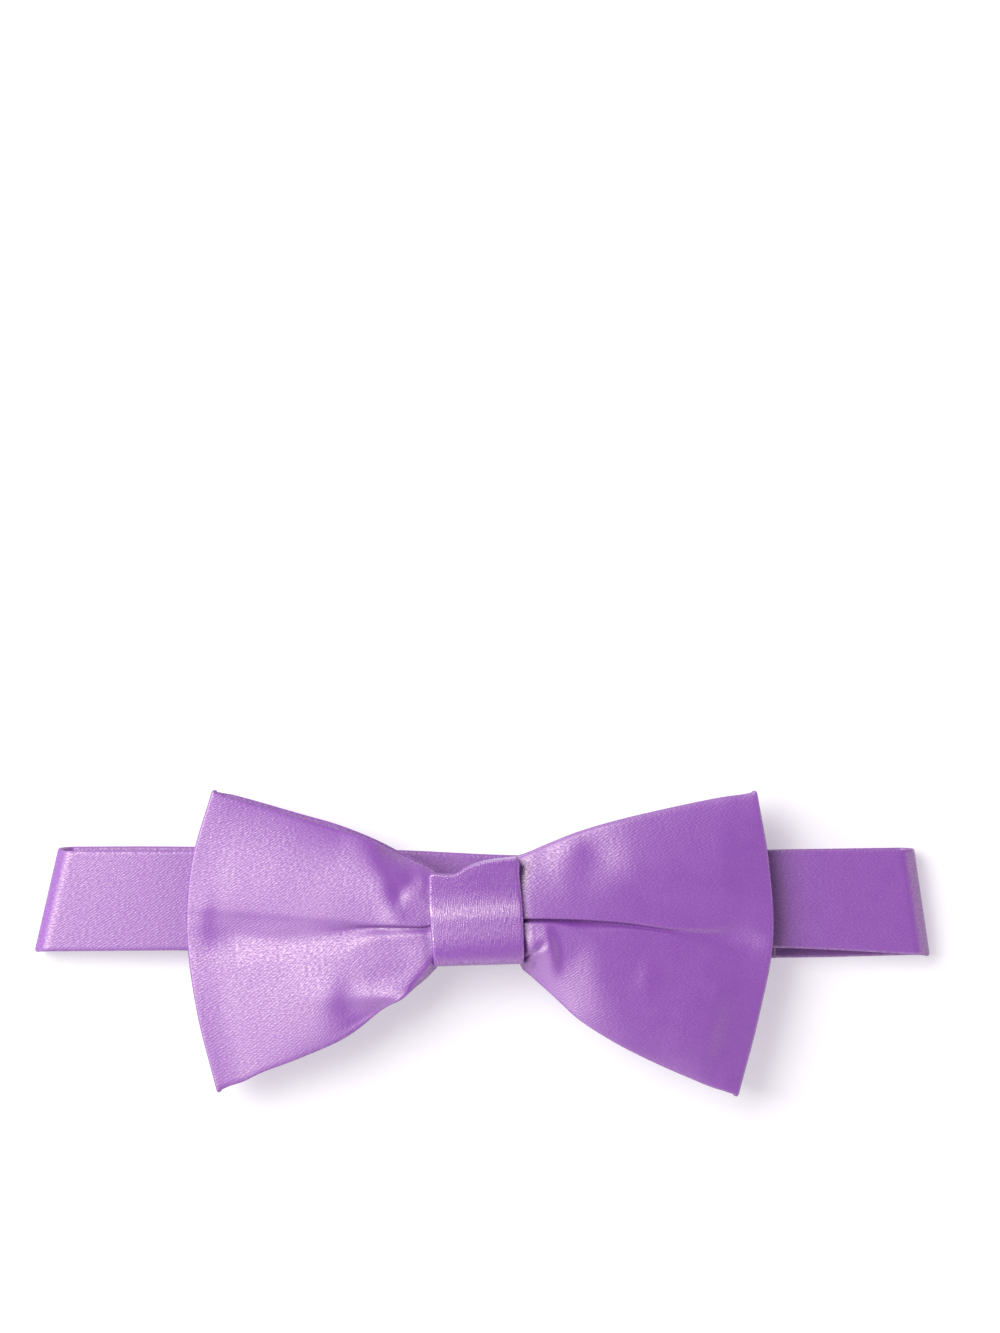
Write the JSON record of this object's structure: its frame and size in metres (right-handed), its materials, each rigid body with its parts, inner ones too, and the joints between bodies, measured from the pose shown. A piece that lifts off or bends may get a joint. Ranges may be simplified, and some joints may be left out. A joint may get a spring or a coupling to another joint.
{
  "type": "pre-tied bow tie",
  "caption": "Satin bow tie that is tied for good: a hollow two-winged bow held in a wrapped knot, on a fastened neck band that lies flat behind it.",
  "frame": {"origin": "middle of the footprint, on the surface that the neck band's rear strand rests on", "axes": "+X to the right along the band, +Y to the top edge of the bow, +Z out of the bow's front"},
  "size_m": [0.1841, 0.0618, 0.0186],
  "materials": {
    "bow_satin": "satin weave, lilac, soft sheen along its folds",
    "knot_satin": "satin weave, lilac, floats run up and down the knot",
    "band_satin": "satin weave, lilac, soft sheen",
    "steel": "plain plated steel"
  },
  "bodies": {
    "root": {"bow_loop": "bow_satin", "knot_wrap": "knot_satin", "neck_band": "band_satin", "clasp": "steel"}
  },
  "joints": []
}
